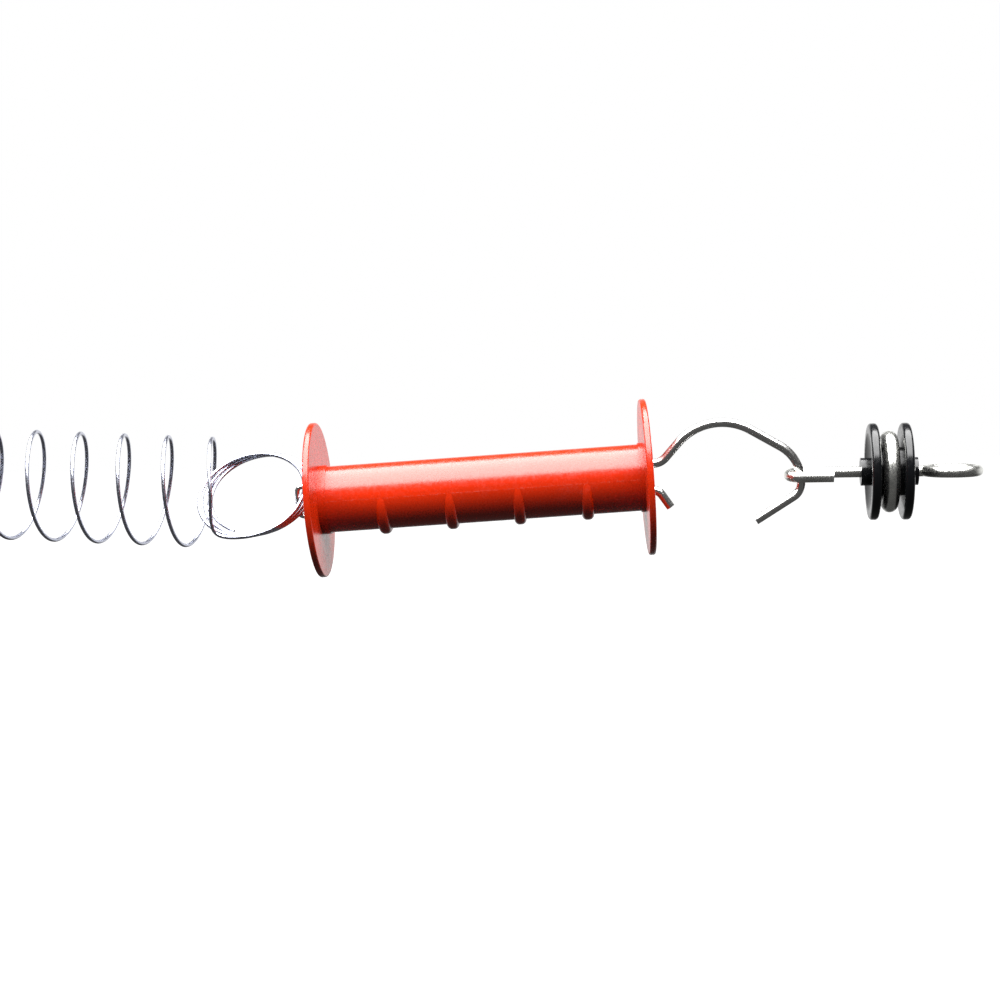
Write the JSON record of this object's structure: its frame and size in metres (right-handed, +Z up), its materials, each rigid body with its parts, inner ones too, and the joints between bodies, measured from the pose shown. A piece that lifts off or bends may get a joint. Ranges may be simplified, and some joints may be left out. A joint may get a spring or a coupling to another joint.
{
  "type": "electric fence gate handle on a post anchor",
  "caption": "Insulated gate handle with a sprung hook, an open gate spring behind it, and a reel-insulated screw anchor that the hook drops into.",
  "frame": {"origin": "where the wood screw's axis crosses the front face of the post", "axes": "+X along the reel's axis, away from the gate; +Y along the screw into the post; +Z up"},
  "size_m": [0.4548, 0.1235, 0.0657],
  "materials": {
    "zinc_steel": "bright zinc plate",
    "hook_steel": "bright plated wire",
    "spring_steel": "galvanised spring wire",
    "orange_plastic": "glossy moulded",
    "black_plastic": "glossy moulded"
  },
  "bodies": {
    "post_anchor": {"screw_eye": "zinc_steel", "reel_left_half": "black_plastic", "reel_right_half": "black_plastic"},
    "rod": {"anchor_rod": "zinc_steel"},
    "drawbar": {"hook_drawbar": "hook_steel", "spring_follower": "zinc_steel", "drawbar_spring": "spring_steel"},
    "grip": {"grip_tube": "orange_plastic", "rear_cap": "orange_plastic", "rear_eye": "hook_steel", "eye_backing_plate": "zinc_steel", "front_spring_seat": "zinc_steel"},
    "gate_spring": {"gate_spring_end_ring": "spring_steel", "gate_spring_coil": "spring_steel"},
    "far_ring": {"gate_spring_far_ring": "spring_steel"}
  },
  "joints": [
    {"name": "rod_swivel", "type": "hinge", "parent": "post_anchor", "child": "rod", "pos_m": [0, -0.022, 0], "axis": [1, 0, 0], "continuous": true},
    {"name": "unhook", "type": "slide", "parent": "rod", "child": "drawbar", "axis": [0.7344, 0.0772, 0.6743], "range_m": [0, 0.0315]},
    {"name": "handle_draw", "type": "slide", "parent": "drawbar", "child": "grip", "axis": [-0.9933, -0.1044, -0.0488], "range_m": [0, 0.025], "stiffness_N_per_m": 2400, "springref_m": -0.006, "deforming": ["drawbar_spring"]},
    {"name": "gate_spring_swing", "type": "hinge", "parent": "grip", "child": "gate_spring", "pos_m": [-0.22213, -0.04651, -0.0065], "axis": [0, 0, 1], "range_deg": [-6, 25]},
    {"name": "gate_spring_stretch", "type": "slide", "parent": "gate_spring", "child": "far_ring", "axis": [0.9927, 0.1043, -0.061], "range_m": [0, 0.09], "stiffness_N_per_m": 95, "deforming": ["gate_spring_coil"]}
  ]
}
